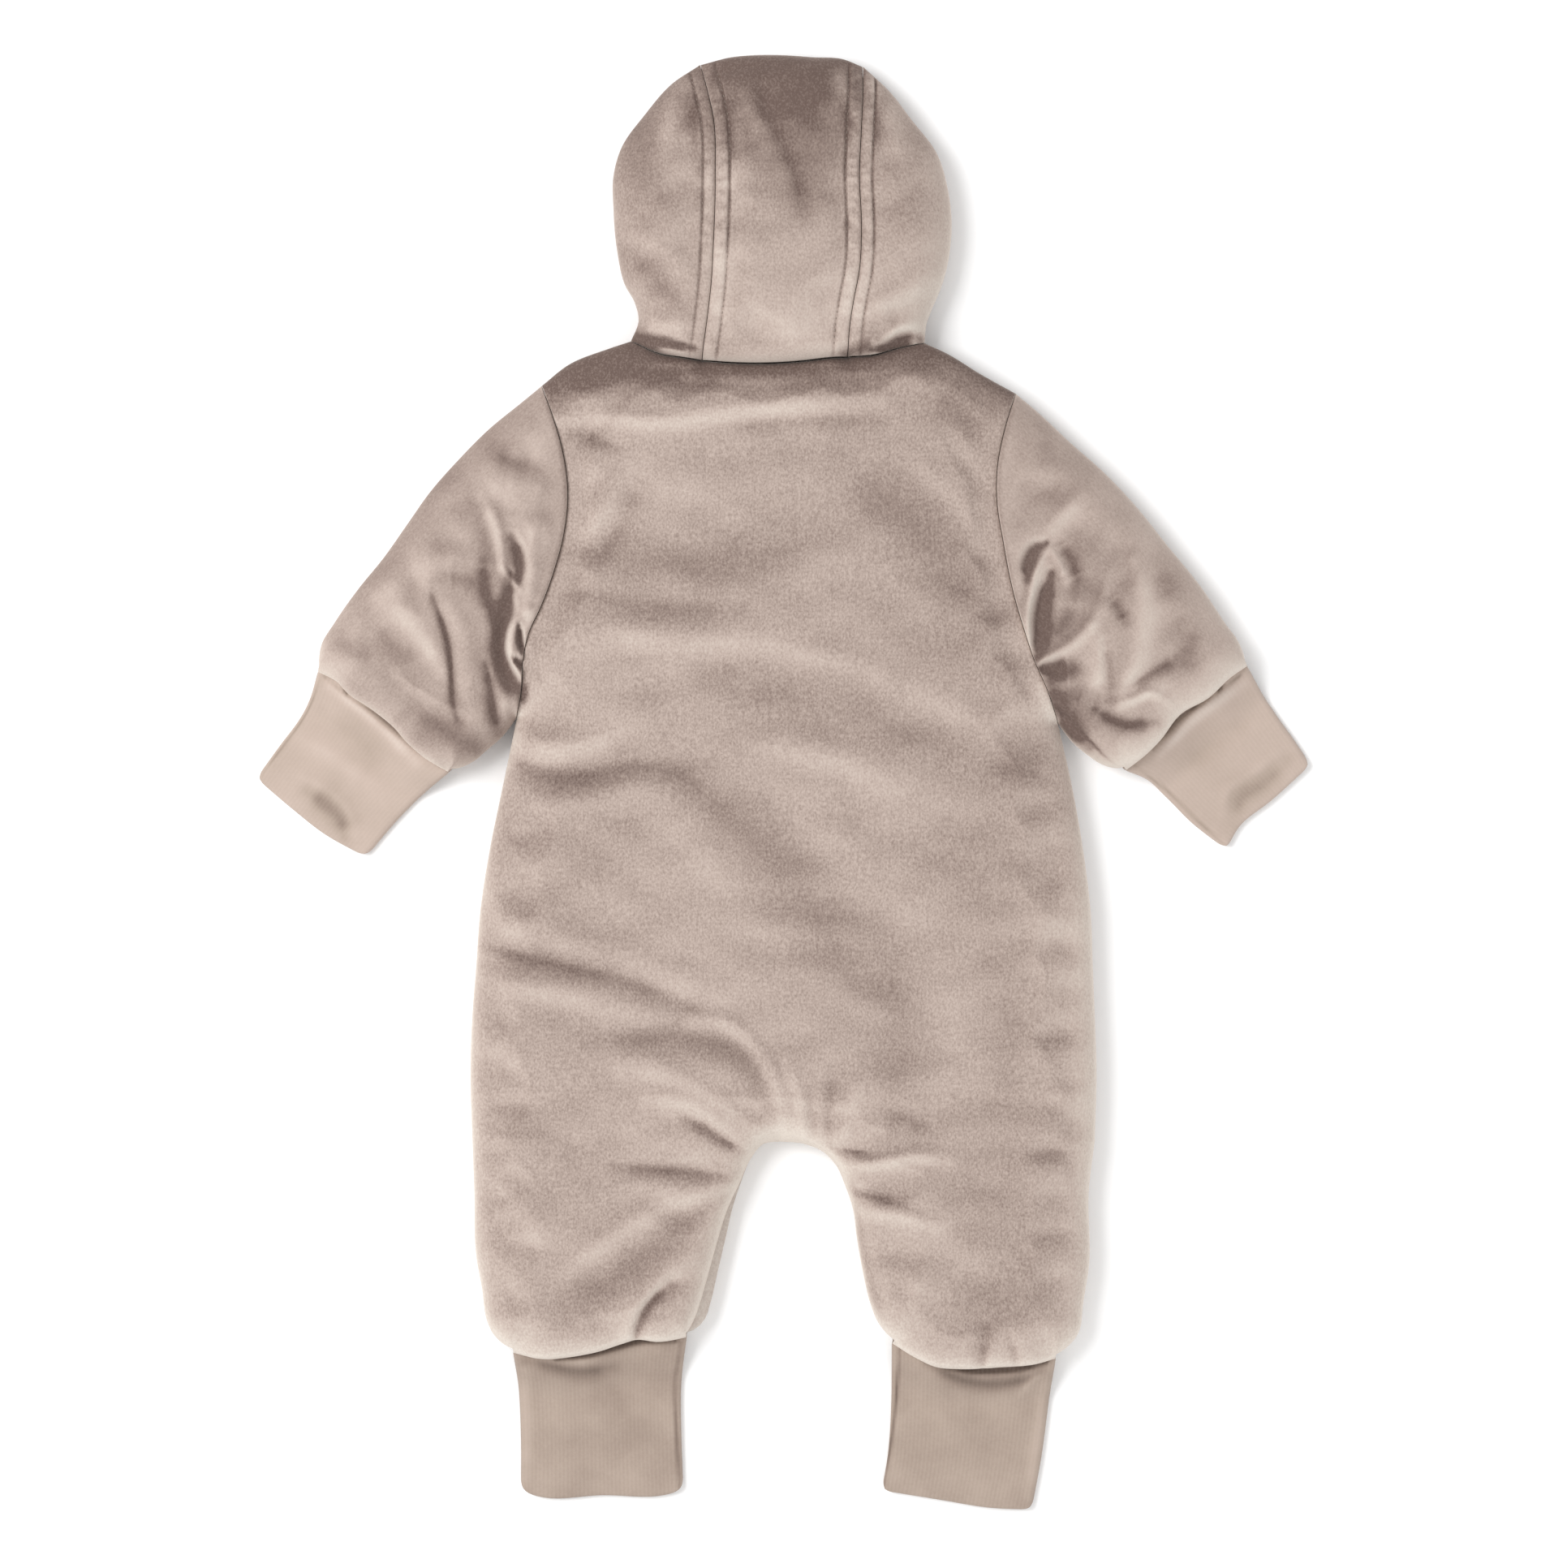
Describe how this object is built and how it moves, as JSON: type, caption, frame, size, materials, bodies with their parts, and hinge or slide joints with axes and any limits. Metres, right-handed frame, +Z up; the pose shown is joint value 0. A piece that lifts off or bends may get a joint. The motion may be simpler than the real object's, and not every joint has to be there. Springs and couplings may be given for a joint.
{
  "type": "padded pramsuit",
  "caption": "Padded velour pramsuit with a three-panel hood and doubled jersey cuffs, laid flat with its back up.",
  "frame": {"origin": "middle of the suit's outline, on the surface that it lies on", "axes": "+Z up out of the back; +Y towards the hood; +X to the right as the back is seen"},
  "size_m": [0.548, 0.754, 0.035],
  "materials": {
    "velour": "short cotton velour pile, soft sheen",
    "jersey": "fine doubled jersey, matt",
    "zip": "woven tape with a closed nylon coil",
    "slider": "satin"
  },
  "bodies": {
    "root": {"back_panel": "velour", "front_left": "velour", "front_right": "velour", "sleeve_left": "velour", "sleeve_right": "velour", "hood_center": "velour", "hood_left": "velour", "hood_right": "velour", "cuff_sleeve_left": "jersey", "cuff_sleeve_right": "jersey", "cuff_leg_left": "jersey", "cuff_leg_right": "jersey", "zip": "zip", "zip_slider": "slider", "zip_pull": "jersey"}
  },
  "joints": []
}
